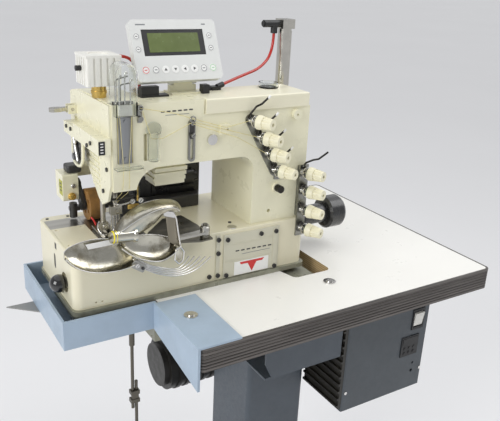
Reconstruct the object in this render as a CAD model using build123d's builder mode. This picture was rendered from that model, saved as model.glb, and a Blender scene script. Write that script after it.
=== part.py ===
from build123d import *
import os
from math import atan2, cos, degrees, hypot, radians, sin, tan

os.makedirs("parts", exist_ok=True)

# ---------------------------------------------------------------- driving dimensions (mm)
table_top = 780.0
table_thick = 40.0
table_left = -210.0
table_right = 406.0
table_half_depth = 272.0
band = 4.0
bed_left = -337.0
bed_right = 90.0
bed_front = -100.0
bed_back = 86.0
bed_floor = table_top + 8.0
bed_top = 876.0
arm_front = -92.0
arm_back = -12.0
arm_under = 1000.0
casting_top = 1077.0
cover_top = 1100.0
head_left = -267.0
head_right = -206.0
bar_x = -262.0
bar_y = -27.0
needle_x = -248.0
needle_y = -46.0
shaft_y = -37.0
shaft_z = 848.0
motor_y = 138.0
motor_z = 480.0
wheel_left = 178.0
belt_x0 = 106.0
belt_x1 = 116.0
post_tilt = 22.0
knob_radius = 12.0
knob_grip_radius = 10.6
knob_tip_radius = 8.8
hose_radius = 2.5
fit = 0.05

# ---------------------------------------------------------------- helpers


def block(x0, x1, y0, y1, z0, z1, mode=Mode.ADD):
    """A plain box between six planes, in the open builder."""
    with Locations(((x0 + x1) / 2, (y0 + y1) / 2, (z0 + z1) / 2)):
        Box(x1 - x0, y1 - y0, z1 - z0, mode=mode)


def rod_x(x0, x1, y, z, r, mode=Mode.ADD):
    """A cylinder along X, in the open builder."""
    with Locations(Location(((x0 + x1) / 2, y, z), (0, 90, 0))):
        Cylinder(r, x1 - x0, mode=mode)


def rod_y(y0, y1, x, z, r, mode=Mode.ADD):
    """A cylinder along Y, in the open builder."""
    with Locations(Location((x, (y0 + y1) / 2, z), (90, 0, 0))):
        Cylinder(r, y1 - y0, mode=mode)


def rod_z(z0, z1, x, y, r, mode=Mode.ADD):
    """A cylinder along Z, in the open builder."""
    with Locations((x, y, (z0 + z1) / 2)):
        Cylinder(r, z1 - z0, mode=mode)


def strut(p, q, r, mode=Mode.ADD):
    """A round bar between two points, in the open builder."""
    start = Vector(*p)
    way = Vector(*q) - start
    with Locations(Plane(origin=start, z_dir=way).location):
        Cylinder(r, way.length, align=(Align.CENTER, Align.CENTER, Align.MIN), mode=mode)


def taper(p, q, r0, r1):
    """A cone frustum between two points, in the open builder."""
    start = Vector(*p)
    way = Vector(*q) - start
    with Locations(Plane(origin=start, z_dir=way).location):
        Cone(r0, r1, way.length, align=(Align.CENTER, Align.CENTER, Align.MIN))


def bent_wire(points, r):
    """Round wire through the points, with a ball at each bend."""
    for p, q in zip(points[:-1], points[1:]):
        strut(p, q, r)
    for p in points[1:-1]:
        with Locations(p):
            Sphere(r)


def wire(points, r, bend):
    """Round wire through the points, bent to one radius, in the open builder."""
    with BuildLine() as route:
        FilletPolyline(*points, radius=bend)
    with BuildSketch(Plane(origin=points[0], z_dir=Vector(*points[1]) - Vector(*points[0]))) as ring:
        Circle(r)
    sweep(sections=ring.sketch, path=route.line)


# ---------------------------------------------------------------- stand, from the floor up
foot_x = (-250.0, 300.0)
pivot_y = 100.0
pivot_z = 130.0

with BuildPart() as stand_feet:
    with BuildSketch(Plane.XY.offset(18)):
        with Locations(*[(x, 0) for x in foot_x]):
            RectangleRounded(60, 524, 12)
        with Locations((25, -54)):
            Rectangle(550, 60)
    extrude(amount=40)
    block(-160, -120, -24, 110, 18, 40)
    block(-160, -120, 90, 110, 40, 142)
    rod_x(-161, -119, pivot_y, pivot_z, 6 + fit, mode=Mode.SUBTRACT)
    block(-47, 119, -142, 34, 58, 66)
stand_feet.part.label = "stand_feet"
export_step(stand_feet.part, "parts/stand_feet.step")

with BuildPart() as levelling_pads:
    for x in foot_x:
        for y in (-225, 225):
            with Locations((x, y, 0)):
                Cone(22, 16, 8, align=(Align.CENTER, Align.CENTER, Align.MIN))
            rod_z(8, 18, x, y, 6)
            rod_z(12, 18, x, y, 10)
levelling_pads.part.label = "levelling_pads"
export_step(levelling_pads.part, "parts/levelling_pads.step")

with BuildPart() as stand_column:
    with BuildSketch(Plane.XY.offset(66)):
        with Locations((36, -54)):
            RectangleRounded(126, 136, 8)
            RectangleRounded(118, 128, 4, mode=Mode.SUBTRACT)
    extrude(amount=571)
    with BuildSketch(Plane.XY.offset(637)):
        with Locations((23.5, -62)):
            Rectangle(149, 292)
    extrude(amount=4)
    with BuildSketch(Plane.XZ.offset(208)):
        with BuildLine():
            Polyline((-51, 740), (112, 740), (112, 637), (-37, 637), (-51, 668), close=True)
        make_face()
    extrude(amount=-4)
    block(-51, 112, -204, -160, 736, 740)
    block(-51, 98, 80, 84, 641, 740)
    block(-51, 98, 84, 114, 736, 740)
    for x in (-40, 80):
        rod_z(730, 744, x, 100, 4, mode=Mode.SUBTRACT)
    rod_z(730, 744, 93, -180, 4 + fit, mode=Mode.SUBTRACT)
stand_column.part.label = "stand_column"
export_step(stand_column.part, "parts/stand_column.step")

# ---------------------------------------------------------------- treadle and pull rod
with BuildPart() as treadle:
    with BuildSketch(Plane.XY.offset(136)):
        with Locations((-140, -32)):
            RectangleRounded(172, 236, 14)
            for y in (-84, -54, -24, 6, 36, 66):
                with Locations((0, y)):
                    SlotOverall(110, 7, mode=Mode.SUBTRACT)
        with Locations((-202, -7)):
            SlotOverall(22, 14, rotation=90, mode=Mode.SUBTRACT)
    extrude(amount=6)
    for x0, x1 in ((-170, -162), (-118, -110)):
        block(x0, x1, 78, 108, 122, 138)
    rod_x(-170, -110, pivot_y, pivot_z, 6)
treadle.part.label = "treadle"
export_step(treadle.part, "parts/treadle.step")

rod_y_at = -7.0
with BuildPart() as pull_rod:
    rod_z(641, 747, -209, rod_y_at, 5)
    rod_z(505, 641, -209, rod_y_at, 3)
    rod_z(126, 563, -202, rod_y_at, 3)
    block(-214, -197, -13, -1, 536, 544)
    block(-214, -197, -13, -1, 518, 526)
    block(-212, -199, -12, -9.5, 526, 536)
    rod_z(144.5, 152, -202, rod_y_at, 9)
    rod_z(126, 133.5, -202, rod_y_at, 9)
pull_rod.part.label = "pull_rod"
export_step(pull_rod.part, "parts/pull_rod.step")

# ---------------------------------------------------------------- table
cut_front = -96.0
cut_back = 74.0
cut_right = 126.0
bulge_left = 35.0
bulge_front = -141.0

with BuildPart() as tabletop:
    with BuildSketch(Plane.XY.offset(table_top - table_thick)):
        with Locations(((table_left + table_right) / 2, 0)):
            RectangleRounded(table_right - table_left - 2 * band, 2 * (table_half_depth - band), 8)
    extrude(amount=table_thick)
    with BuildSketch(Plane.XY.offset(table_top - table_thick)):
        with BuildLine():
            FilletPolyline((table_left - 10, cut_front), (bulge_left, cut_front),
                           (bulge_left + 12, bulge_front), (cut_right, bulge_front),
                           (cut_right, cut_back), (table_left - 10, cut_back), radius=10)
            Line((table_left - 10, cut_back), (table_left - 10, cut_front))
        make_face()
    extrude(amount=table_thick, mode=Mode.SUBTRACT)
    for x, y in ((93, -180), (-180, -181), (-40, 100), (80, 100)):
        rod_z(table_top - table_thick - 1, table_top + 1, x, y, 4 + fit, mode=Mode.SUBTRACT)
tabletop.part.label = "tabletop"
export_step(tabletop.part, "parts/tabletop.step")

groove_pitch = 5.4
groove_width = 1.8
with BuildPart() as edge_band:
    outer_w = table_right - table_left
    outer_d = 2 * table_half_depth
    with BuildSketch(Plane.XY.offset(table_top - table_thick)):
        with Locations(((table_left + table_right) / 2, 0)):
            RectangleRounded(outer_w, outer_d, 10)
            RectangleRounded(outer_w - 2 * band, outer_d - 2 * band, 8, mode=Mode.SUBTRACT)
    extrude(amount=table_thick)
    for i in range(6):
        with BuildSketch(Plane.XY.offset(table_top - table_thick + 5 + groove_pitch * i)):
            with Locations(((table_left + table_right) / 2, 0)):
                Rectangle(outer_w + 4, outer_d + 4)
                RectangleRounded(outer_w - 2, outer_d - 2, 9, mode=Mode.SUBTRACT)
        extrude(amount=groove_width, mode=Mode.SUBTRACT)
    block(table_left - 1, table_left + band + 0.5, cut_front, cut_back, 739, 781, mode=Mode.SUBTRACT)
edge_band.part.label = "edge_band"
export_step(edge_band.part, "parts/edge_band.step")

with BuildPart() as head_tray:
    with BuildSketch(Plane.XY.offset(735)):
        with BuildLine():
            Polyline((-361, -117), (-214, -117), (-214, 114), (-361, 114), close=True)
        make_face()
    extrude(amount=48)
    block(-357, -200, -113, 110, 739, 790, mode=Mode.SUBTRACT)
    block(-236, -200, -32, 18, 730, 745, mode=Mode.SUBTRACT)
    with BuildSketch(Plane.YZ.offset(-214)):
        with BuildLine():
            Polyline((-272, 710), (-113, 735), (-113, 783), (-272, 783), close=True)
        make_face()
    extrude(amount=4)
    block(-214, -141, -272, -120, 780, 783)
    block(-214, -210, 74, 114, 735, 780)
    rod_z(779, 784, -180, -181, 4 + fit, mode=Mode.SUBTRACT)
    with BuildSketch(Plane.XY.offset(733)):
        with BuildLine():
            Polyline((-406, 60), (-300, 60), (-300, 20), (-361, 20), close=True)
        make_face()
    extrude(amount=2)
head_tray.part.label = "head_tray"
export_step(head_tray.part, "parts/head_tray.step")

with BuildPart() as bright_bolts:
    for x, y, z, low in ((93, -180, 780, 728), (-180, -181, 783, 728)):
        rod_z(z, z + 1.6, x, y, 11)
        rod_z(z + 1.6, z + 3.2, x, y, 6)
        rod_z(low, z, x, y, 4)
        rod_z(low + 2, 736 if x > 0 else 740, x, y, 9)
    rod_z(bed_top, bed_top + 1.5, -57.5, -90, 8)
    for x, z in ((130, 554), (320, 553)):
        rod_y(-214, -212, x, z, 3.2)
    rod_y(-96.5, -92, -103, 1035, 8.5)
bright_bolts.part.label = "bright_bolts"
export_step(bright_bolts.part, "parts/bright_bolts.step")

with BuildPart() as oil_pan:
    with BuildSketch(Plane.XY.offset(table_top)):
        with Locations((-123.5, -11)):
            RectangleRounded(433, 190, 12)
    extrude(amount=8)
    block(-330, -206, -88, 66, 754, 780)
    block(-200, 84, -88, 66, 690, 781)
    block(-327, -206, -85, 63, 757, 790, mode=Mode.SUBTRACT)
    block(-206, 81, -85, 63, 757, 790, mode=Mode.SUBTRACT)
    block(-197, 81, -85, 63, 693, 790, mode=Mode.SUBTRACT)
    block(-206, -200, -88, 66, 754, 757)
    block(-206, -200, -88, -85, 757, 780)
    block(-206, -200, 63, 66, 757, 780)
    block(54, 98, -134, -88, 768, 771)
    block(81, 98, -88, -60, 768, 771)
    with Locations((-172, -7, 690)):
        Sphere(27, mode=Mode.ADD)
        Sphere(24, mode=Mode.SUBTRACT)
oil_pan.part.label = "oil_pan"
export_step(oil_pan.part, "parts/oil_pan.step")

# ---------------------------------------------------------------- electrics under the table
box_x0 = 124.0
box_x1 = 326.0
box_y0 = -212.0
box_y1 = -98.0
box_z0 = 513.0
box_z1 = 735.0
box_wall = 3.0
rocker_x0 = 286.0
rocker_width = 22.0
rocker_y = -209.0
rocker_z = 670.0
with BuildPart() as control_box:
    with BuildSketch(Plane.XY.offset(box_z0)):
        with Locations(((box_x0 + box_x1) / 2, (box_y0 + box_y1) / 2)):
            RectangleRounded(box_x1 - box_x0, box_y1 - box_y0, box_wall)
    extrude(amount=box_z1 - box_z0)
    block(box_x0 + box_wall, box_x1 - box_wall, box_y0 + box_wall, box_y1 - box_wall,
          box_z0 + box_wall, box_z1 - box_wall, mode=Mode.SUBTRACT)
    block(282, 312, -209, -196, 648, 692)
    block(285, 309, -213, -199, 653.5, 686.5, mode=Mode.SUBTRACT)
    for x0, x1 in ((140, 165), (290, 315)):
        block(x0, x1, -205, -105, 735, 740)
    rod_y(-213, -205, 300, 569, 2.6, mode=Mode.SUBTRACT)
    rod_y(-213, -205, 299, 551.6, 3.6, mode=Mode.SUBTRACT)
control_box.part.label = "control_box"
export_step(control_box.part, "parts/control_box.step")

with BuildPart() as control_trim:
    block(118, 124, -210, -102, 520, 732)
    for i in range(13):
        block(114, 118, -210, -102, 524 + 16 * i, 528 + 16 * i)
    block(261, 305, -214, -212, 592, 635)
    block(264, 302, -214.6, -214, 618, 632)
    for x in (271, 283, 295):
        for z in (599, 609):
            rod_y(-215, -214, x, z, 3.2)
    block(282, 312, -214, -212, 648, 692)
    block(285, 309, -215, -211, 653.5, 686.5, mode=Mode.SUBTRACT)
control_trim.part.label = "control_trim"
export_step(control_trim.part, "parts/control_trim.step")

with BuildPart() as power_switch:
    with BuildSketch(Plane.YZ.offset(rocker_x0)):
        with BuildLine():
            Polyline((rocker_y - 4.2, rocker_z - 14), (rocker_y - 6.2, rocker_z),
                     (rocker_y - 8.5, rocker_z + 14), (rocker_y + 2, rocker_z + 14),
                     (rocker_y + 4, rocker_z), (rocker_y + 2, rocker_z - 14), close=True)
        make_face()
    extrude(amount=rocker_width)
    rod_x(rocker_x0 - 0.7, rocker_x0 + rocker_width + 0.7, rocker_y, rocker_z, 2)
power_switch.part.label = "power_switch"
export_step(power_switch.part, "parts/power_switch.step")

with BuildPart() as servo_motor:
    rod_x(-86, 60, motor_y, motor_z, 57.5)
    rod_x(-98, -86, motor_y, motor_z, 47)
    rod_x(60, 72, motor_y, motor_z, 44)
    for x in (-70, -50, -30, -10, 10, 30, 46):
        rod_x(x, x + 8, motor_y, motor_z, 60)
    rod_x(72, 122, motor_y, motor_z, 7)
    for x in (-60, 30):
        block(x, x + 8, 120, 168, 530, 736)
    block(-70, 50, 118, 180, 734, 740)
servo_motor.part.label = "servo_motor"
export_step(servo_motor.part, "parts/servo_motor.step")

with BuildPart() as motor_pulley:
    rod_x(102, 120, motor_y, motor_z, 35)
    with BuildSketch(Plane.YZ.offset(belt_x0 - 0.4)):
        with Locations((motor_y, motor_z)):
            Circle(36)
            Circle(29, mode=Mode.SUBTRACT)
    extrude(amount=belt_x1 - belt_x0 + 0.8, mode=Mode.SUBTRACT)
    rod_x(101, 121, motor_y, motor_z, 7 + fit, mode=Mode.SUBTRACT)
    for i in range(5):
        a = radians(72 * i)
        rod_x(101, 121, motor_y + 18 * cos(a), motor_z + 18 * sin(a), 4.5, mode=Mode.SUBTRACT)
motor_pulley.part.label = "motor_pulley"
export_step(motor_pulley.part, "parts/motor_pulley.step")

with BuildPart() as drive_belt:
    with BuildSketch(Plane.YZ.offset(belt_x0)):
        with Locations((shaft_y, shaft_z)):
            Circle(30.3)
        with Locations((motor_y, motor_z)):
            Circle(37.3)
        make_hull()
    extrude(amount=belt_x1 - belt_x0)
    with BuildSketch(Plane.YZ.offset(belt_x0)):
        with Locations((shaft_y, shaft_z)):
            Circle(22.3)
        with Locations((motor_y, motor_z)):
            Circle(29.3)
        make_hull()
    extrude(amount=belt_x1 - belt_x0, mode=Mode.SUBTRACT)
drive_belt.part.label = "drive_belt"
export_step(drive_belt.part, "parts/drive_belt.step")

with BuildPart() as handwheel:
    rod_x(60, wheel_left + 26, shaft_y, shaft_z, 8)
    rod_x(102, 120, shaft_y, shaft_z, 28)
    with BuildSketch(Plane.YZ.offset(belt_x0 - 0.4)):
        with Locations((shaft_y, shaft_z)):
            Circle(29)
            Circle(22, mode=Mode.SUBTRACT)
    extrude(amount=belt_x1 - belt_x0 + 0.8, mode=Mode.SUBTRACT)
    rod_x(120, wheel_left, shaft_y, shaft_z, 19)
    with BuildSketch(Plane.XY.offset(shaft_z)):
        with BuildLine():
            Polyline((wheel_left, shaft_y), (wheel_left, shaft_y + 27), (wheel_left + 4, shaft_y + 31.5),
                     (wheel_left + 32, shaft_y + 31.5), (wheel_left + 37, shaft_y + 28),
                     (wheel_left + 37, shaft_y + 24), (wheel_left + 30, shaft_y + 20),
                     (wheel_left + 30, shaft_y), close=True)
        make_face()
    revolve(axis=Axis((0, shaft_y, shaft_z), (1, 0, 0)))
handwheel.part.label = "handwheel"
export_step(handwheel.part, "parts/handwheel.step")

# ---------------------------------------------------------------- bed
with BuildPart() as bed_casting:
    with BuildSketch(Plane.XY.offset(bed_floor)):
        with Locations(((bed_left + bed_right) / 2, (bed_front + bed_back) / 2)):
            RectangleRounded(bed_right - bed_left, bed_back - bed_front, 14)
    extrude(amount=bed_top - bed_floor)
    fillet(bed_casting.edges().group_by(Axis.Z)[-1], 2.5)
    block(-329, 82, -92, 78, bed_floor - 1, 868, mode=Mode.SUBTRACT)
    block(-338, -94, -101, -92, 790, 872, mode=Mode.SUBTRACT)
    block(-333, -200, -61, 65, 873.5, 877, mode=Mode.SUBTRACT)
    block(-276, -236, -56, -20, 866, 875, mode=Mode.SUBTRACT)
    rod_x(-338, -331, -56, 819, 16.4, mode=Mode.SUBTRACT)
    rod_x(-332, -328, -56, 819, 3 + fit, mode=Mode.SUBTRACT)
    block(-338, -332, -18, -8, 858, 869, mode=Mode.SUBTRACT)
    with BuildSketch(Plane.YZ.offset(-338)):
        with Locations((-5, 834.5)):
            SlotOverall(26, 9, rotation=90)
    extrude(amount=6, mode=Mode.SUBTRACT)
    rod_x(81, 91, shaft_y, shaft_z, 8 + fit, mode=Mode.SUBTRACT)
bed_casting.part.label = "bed_casting"
export_step(bed_casting.part, "parts/bed_casting.step")

with BuildPart() as bed_covers:
    with BuildSketch(Plane.XY.offset(790.3)):
        with Locations(((bed_left + bed_right) / 2, (bed_front + bed_back) / 2)):
            RectangleRounded(bed_right - bed_left, bed_back - bed_front, 14)
    extrude(amount=81.4)
    block(-338, -94.3, -101, -92, 780, 880, mode=Mode.INTERSECT)
    for x in (-303, -293):
        rod_y(-101, -97, x, 796, 1.4, mode=Mode.SUBTRACT)
    block(-332.7, -276, -60.7, 24.7, 873.5, 876.6)
    for x, y in ((-325, -50), (-284, -50), (-325, 17), (-284, 17)):
        rod_z(875.5, 877, x, y, 3, mode=Mode.SUBTRACT)
bed_covers.part.label = "bed_covers"
export_step(bed_covers.part, "parts/bed_covers.step")

with BuildPart() as needle_plate:
    block(-332.7, -276, 25.3, 64.7, 873.5, 876.2)
    block(-275.4, -200.4, -60.7, 64.7, 873.5, 876.2)
    block(-271, -240, -50, -42, 872, 878, mode=Mode.SUBTRACT)
    for x in (-268, -262, -256):
        block(x, x + 2.5, -38, -2, 872, 878, mode=Mode.SUBTRACT)
needle_plate.part.label = "needle_plate"
export_step(needle_plate.part, "parts/needle_plate.step")

with BuildPart() as name_panel:
    block(-79, 33, -102, -100, 789, 869)
    block(-93, -86, -101.6, -100, 791, 871)
    block(21, 29, -103.4, -102, 789, 866)
    block(-75, 18, -102.5, -102, 849, 850.5)
    block(-75, 18, -102.5, -102, 819, 820.5)
    block(-58, 13, -102.6, -102, 790, 816)
name_panel.part.label = "name_panel"
export_step(name_panel.part, "parts/name_panel.step")

panel_screws = ((-72, 860, -102), (-5, 860, -102), (-73, 794, -102), (25, 860, -103.4),
                (25, 793, -103.4), (-89.5, 863, -101.6), (-89.5, 838, -101.6), (-89.5, 797, -101.6),
                (-105, 797, -100))
with BuildPart() as dark_screws:
    for x, z, y in panel_screws:
        rod_y(y - 2.4, y, x, z, 4)
        rod_y(y - 3.4, y - 1.2, x, z, 1.9, mode=Mode.SUBTRACT)
    for y, z in ((-78, 1001), (-60, 962)):
        rod_x(-273.2, -271, y, z, 3.4)
    for y, z in ((-64, 1040), (-48, 1033), (30, 1040), (52, 1040)):
        rod_x(-292.2, -290, y, z, 3.2)
    rod_z(bed_top, bed_top + 1.2, -50, -69, 3)
    rod_x(-339, -337, -44, 799, 3.4)
    for x, y in ((-325, 74), (-290, 74)):
        rod_z(bed_top, bed_top + 1, x, y, 2.6)
dark_screws.part.label = "dark_screws"
export_step(dark_screws.part, "parts/dark_screws.step")

with BuildPart() as ball_knob:
    rod_x(-340, -322, -56, 819, 3)
    with Locations(Location((-346.5, -56, 819), (0, 90, 0))):
        Sphere(14.5)
ball_knob.part.label = "ball_knob"
export_step(ball_knob.part, "parts/ball_knob.step")

# ---------------------------------------------------------------- arm, column and head
with BuildPart() as arm_casting:
    with BuildSketch(Plane.XZ.offset(-arm_front)):
        with BuildLine():
            Polyline((-22, 975), (-22, bed_top), (87, bed_top), (87, casting_top), (-115, casting_top),
                     (-115, cover_top), (head_left, cover_top), (head_left, 968), (-230, 968))
            RadiusArc((-230, 968), (-194, arm_under), 38)
            Line((-194, arm_under), (-47, arm_under))
            RadiusArc((-47, arm_under), (-22, 975), 25)
        make_face()
    extrude(amount=arm_front - arm_back)
    with BuildSketch(Plane.XY.offset(bed_top)):
        with Locations((32.5, 19)):
            Rectangle(109, 62)
    extrude(amount=casting_top - bed_top)
    with BuildSketch(Plane.YZ.offset(head_left)):
        with BuildLine():
            Polyline((arm_back, cover_top), (60, 1097), (94, 1090), (94, 962), (75, 962), (75, 1018),
                     (47, 1018), (47, 985), (10, 976), (arm_back, 968), close=True)
        make_face()
    extrude(amount=27)
    with BuildSketch(Plane.YZ.offset(head_left + 27)):
        with BuildLine():
            Polyline((arm_back, cover_top), (60, 1097), (94, 1090), (94, 962), (60, 965), (10, 976),
                     (arm_back, 968), close=True)
        make_face()
    extrude(amount=head_right - head_left - 27)
    front_edges = arm_casting.edges().filter_by(Axis.Z).filter_by_position(Axis.Y, -92.1, -91.9)
    fillet(front_edges.sort_by(Axis.X)[1:2], 3)
    rod_x(head_left, -239, 61, 1008, 3)
    rod_z(960, 1101, bar_x, bar_y, 4 + fit, mode=Mode.SUBTRACT)
    rod_z(960, 1072, needle_x, needle_y, 3.6 + fit, mode=Mode.SUBTRACT)
    block(-218, -212, -93, -84, 1012, 1054, mode=Mode.SUBTRACT)
    block(-90, -73, -98, arm_front, 1042, 1058)
    rod_y(-99, -93, -77, 1050, 1.6, mode=Mode.SUBTRACT)
    rod_y(-99.5, arm_front, 57.5, 1064, 8.5)
    rod_y(-101, -95, 57.5, 1064, 2, mode=Mode.SUBTRACT)
    rod_y(-96, arm_front, 27, 937.5, 8.5)
    rod_y(-93, -86, 14, 896, 3.2, mode=Mode.SUBTRACT)
    block(-10, 75, 50, 53, 890, 1060)
    block(-180, -40, arm_back, -9, 1010, 1066)
arm_casting.part.label = "arm_casting"
export_step(arm_casting.part, "parts/arm_casting.step")

with BuildPart() as top_cover:
    block(-114.7, 82, -95, -9.5, casting_top, cover_top)
    fillet(top_cover.edges().group_by(Axis.Z)[-1], 3)
top_cover.part.label = "top_cover"
export_step(top_cover.part, "parts/top_cover.step")

with BuildPart() as face_cover:
    with BuildSketch(Plane.YZ.offset(-271)):
        with BuildLine():
            Polyline((-90, 1099), (-90, 978), (-77, 950), (-52, 937), (-36, 944), (12, 986),
                     (30, 1022), (88, 1022), (88, 1090), (56, 1097), close=True)
        make_face()
    extrude(amount=4)
    for i in range(7):
        z = 962 + 9 * i
        block(-272.4, -271, -46 + 0.6 * i, min(-16 + 7 * i, 16), z, z + 4)
    with BuildSketch(Plane.XY.offset(1028)):
        with BuildLine():
            Polyline((-271, -96), (-290, -96), (-290, 68), (-271, 68), close=True)
        make_face()
    extrude(amount=24)
    block(-291, -268, 20, 69, 1046, 1053, mode=Mode.SUBTRACT)
    for y0, y1 in ((55, 58), (68, 71)):
        block(-285, -271, y0, y1, 1058, 1072)
    rod_y(54, 72, -278, 1065, 3 + fit, mode=Mode.SUBTRACT)
face_cover.part.label = "face_cover"
export_step(face_cover.part, "parts/face_cover.step")

with BuildPart() as lift_lever:
    rod_y(58.5, 67.5, -278, 1065, 6)
    rod_y(55, 71, -278, 1065, 3)
    with BuildSketch(Plane.XY.offset(1062)):
        with Locations((-294.5, 63)):
            SlotOverall(37, 9)
        with Locations((-303, 63)):
            SlotOverall(22, 14)
    extrude(amount=6)
lift_lever.part.label = "lift_lever"
export_step(lift_lever.part, "parts/lift_lever.step")

with BuildPart() as release_lever:
    rod_x(-265, -255, 61, 1008, 6)
    rod_x(-266, -254, 61, 1008, 3 + fit, mode=Mode.SUBTRACT)
    strut((-260, 61, 1003), (-260, 61, 984), 3.2)
    with Locations((-260, 61, 982)):
        Sphere(6.2)
release_lever.part.label = "release_lever"
export_step(release_lever.part, "parts/release_lever.step")

with BuildPart() as take_up_plate:
    with BuildSketch(Plane.XZ.offset(-arm_front)):
        with Locations((-248, 1047.5)):
            Rectangle(24, 71)
    extrude(amount=2)
    with BuildSketch(Plane.XZ.offset(-arm_front + 2)):
        with BuildLine():
            Polyline((-258, 1081), (-238, 1081), (-243, 1040), (-240, 1014), (-256, 1014),
                     (-253, 1040), close=True)
        make_face()
    extrude(amount=1.6)
    rod_y(-97, -95.6, -248, 1076, 2.6)
    rod_y(-97, -95.6, -248, 1020, 2.6)
take_up_plate.part.label = "take_up_plate"
export_step(take_up_plate.part, "parts/take_up_plate.step")

with BuildPart() as clear_guards:
    with BuildSketch(Plane.XZ.offset(100)):
        with Locations((-247.5, 1114)):
            Rectangle(33, 60)
        with Locations((-247.5, 1144)):
            Circle(16.5)
        with Locations((-247.5, 1114)):
            Rectangle(29, 62, mode=Mode.SUBTRACT)
        with Locations((-247.5, 1144)):
            Circle(14.5, mode=Mode.SUBTRACT)
    extrude(amount=-24)
    with BuildSketch(Plane.XZ.offset(102)):
        with Locations((-247.5, 1114)):
            Rectangle(33, 60)
        with Locations((-247.5, 1144)):
            Circle(16.5)
    extrude(amount=-2)
    block(-270, -225, arm_front, -70, 1080, cover_top, mode=Mode.SUBTRACT)
    block(-266, -225, -108, arm_front - 0.3, 1005, 1007)
    block(-266, -225, -108, -106, 1007, 1010)
    rod_y(-97, arm_front - 0.3, -203.3, 1060, 12)
    rod_z(1012, 1054, -203.3, -94, 9)
    block(-216, -190, arm_front - 0.3, -80, 1000, 1058, mode=Mode.SUBTRACT)
    rod_z(1013.5, 1055, -203.3, -94, 7.4, mode=Mode.SUBTRACT)
    rod_z(cover_top, cover_top + 9, 36, -36, 17)
    rod_z(cover_top + 2, cover_top + 10, 36, -36, 14.5, mode=Mode.SUBTRACT)
clear_guards.part.label = "clear_guards"
export_step(clear_guards.part, "parts/clear_guards.step")

with BuildPart() as thread_guides:
    with BuildSketch(Plane.XZ.offset(-arm_front)):
        with Locations((-139, 1036.5)):
            SlotOverall(67, 12, rotation=90)
        with Locations((-139, 1024)):
            SlotOverall(34, 5, rotation=90, mode=Mode.SUBTRACT)
    extrude(amount=3)
    rod_y(-99, -95, -139, 1046, 4)
    with Locations(Location((-139, -97.5, 1071), (90, 0, 0))):
        Torus(4.5, 1.1)
    rod_y(-97, -95, -139, 1064, 3)
    block(-228, -221, -94, arm_front, 1072, 1098)
    rod_y(-98, -94, -224.5, 1078, 4)
    with Locations(Location((-224.5, -96.5, 1094), (90, 0, 0))):
        Torus(3.6, 1.0)
    wire([(-258, -88, cover_top), (-258, -88, 1136), (-240, -88, 1140)], 1.1, 4)
    wire([(-252, -88, cover_top), (-252, -88, 1128), (-238, -88, 1130)], 1.1, 4)
    block(-262, -234, -92, -84, cover_top, 1104)
thread_guides.part.label = "thread_guides"
export_step(thread_guides.part, "parts/thread_guides.step")

# ---------------------------------------------------------------- thread tension
upper_discs = ((-25, 1060), (-8, 1031), (9, 1002), (26, 970.5))
lower_discs = ((79, 962.5), (82, 928.5), (83, 892.5), (84, 857))
upper_base = -95.0
lower_base = -103.0
lean_x = sin(radians(post_tilt))
lean_y = -cos(radians(post_tilt))
posts = [(x - 6.9, upper_base, z) for x, z in upper_discs]
posts += [(x - 6.0, lower_base, z) for x, z in lower_discs]


def along(base, t):
    """A point t mm out along the axis of a tension post."""
    return (base[0] + t * lean_x, base[1] + t * lean_y, base[2])


with BuildPart() as tension_plates:
    rise = posts[0][2] - posts[3][2]
    reach = posts[3][0] - posts[0][0]
    with BuildSketch(Plane.XZ.offset(-arm_front)):
        with Locations(((posts[0][0] + posts[3][0]) / 2, (posts[0][2] + posts[3][2]) / 2)):
            SlotOverall(hypot(rise, reach) + 22, 18, rotation=-degrees(atan2(rise, reach)))
    extrude(amount=3)
    block(68, 86, lower_base, bed_front, 843, 975)
    block(70, 84, bed_front, arm_front, 880, 972)
    block(20, 70, upper_base, arm_front, 953, 961)
    rod_y(-108, -96, 27, 937.5, 6.5)
    for x, z in upper_discs:
        wire([(x - 14, -94, z + 4), (x - 12, -101, z + 14), (x - 4, -104, z + 25),
              (x + 4, -107, z + 29), (x + 16, -112, z + 42)], 1.7, 5)
    x, z = lower_discs[0]
    wire([(x - 4, -102, z + 10), (x - 2, -106, z + 17), (x + 12, -108, z + 21),
          (x + 22, -110, z + 22), (x + 40, -112, z + 33)], 1.7, 4)
    for x, z in lower_discs[1:]:
        wire([(x - 12, -102, z + 4), (x - 13, -108, z + 10), (x - 9, -113, z + 14)], 1.3, 3)
tension_plates.part.label = "tension_plates"
export_step(tension_plates.part, "parts/tension_plates.step")

with BuildPart() as tension_posts:
    inner = 6.0
    for base in posts:
        strut(along(base, -3), along(base, 36), 3)
        strut(along(base, -3), along(base, inner), 5)
        strut(along(base, inner), along(base, inner + 1.2), 9)
        strut(along(base, inner + 2.2), along(base, inner + 3.4), 10.5)
        strut(along(base, inner + 4.4), along(base, inner + 5.6), 9)
        strut(along(base, inner + 1), along(base, inner + 4.6), 4)
    block(-60, 60, upper_base, upper_base + 12, 940, 1090, mode=Mode.SUBTRACT)
    block(60, 120, lower_base, lower_base + 12, 830, 990, mode=Mode.SUBTRACT)
tension_posts.part.label = "tension_posts"
export_step(tension_posts.part, "parts/tension_posts.step")

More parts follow.
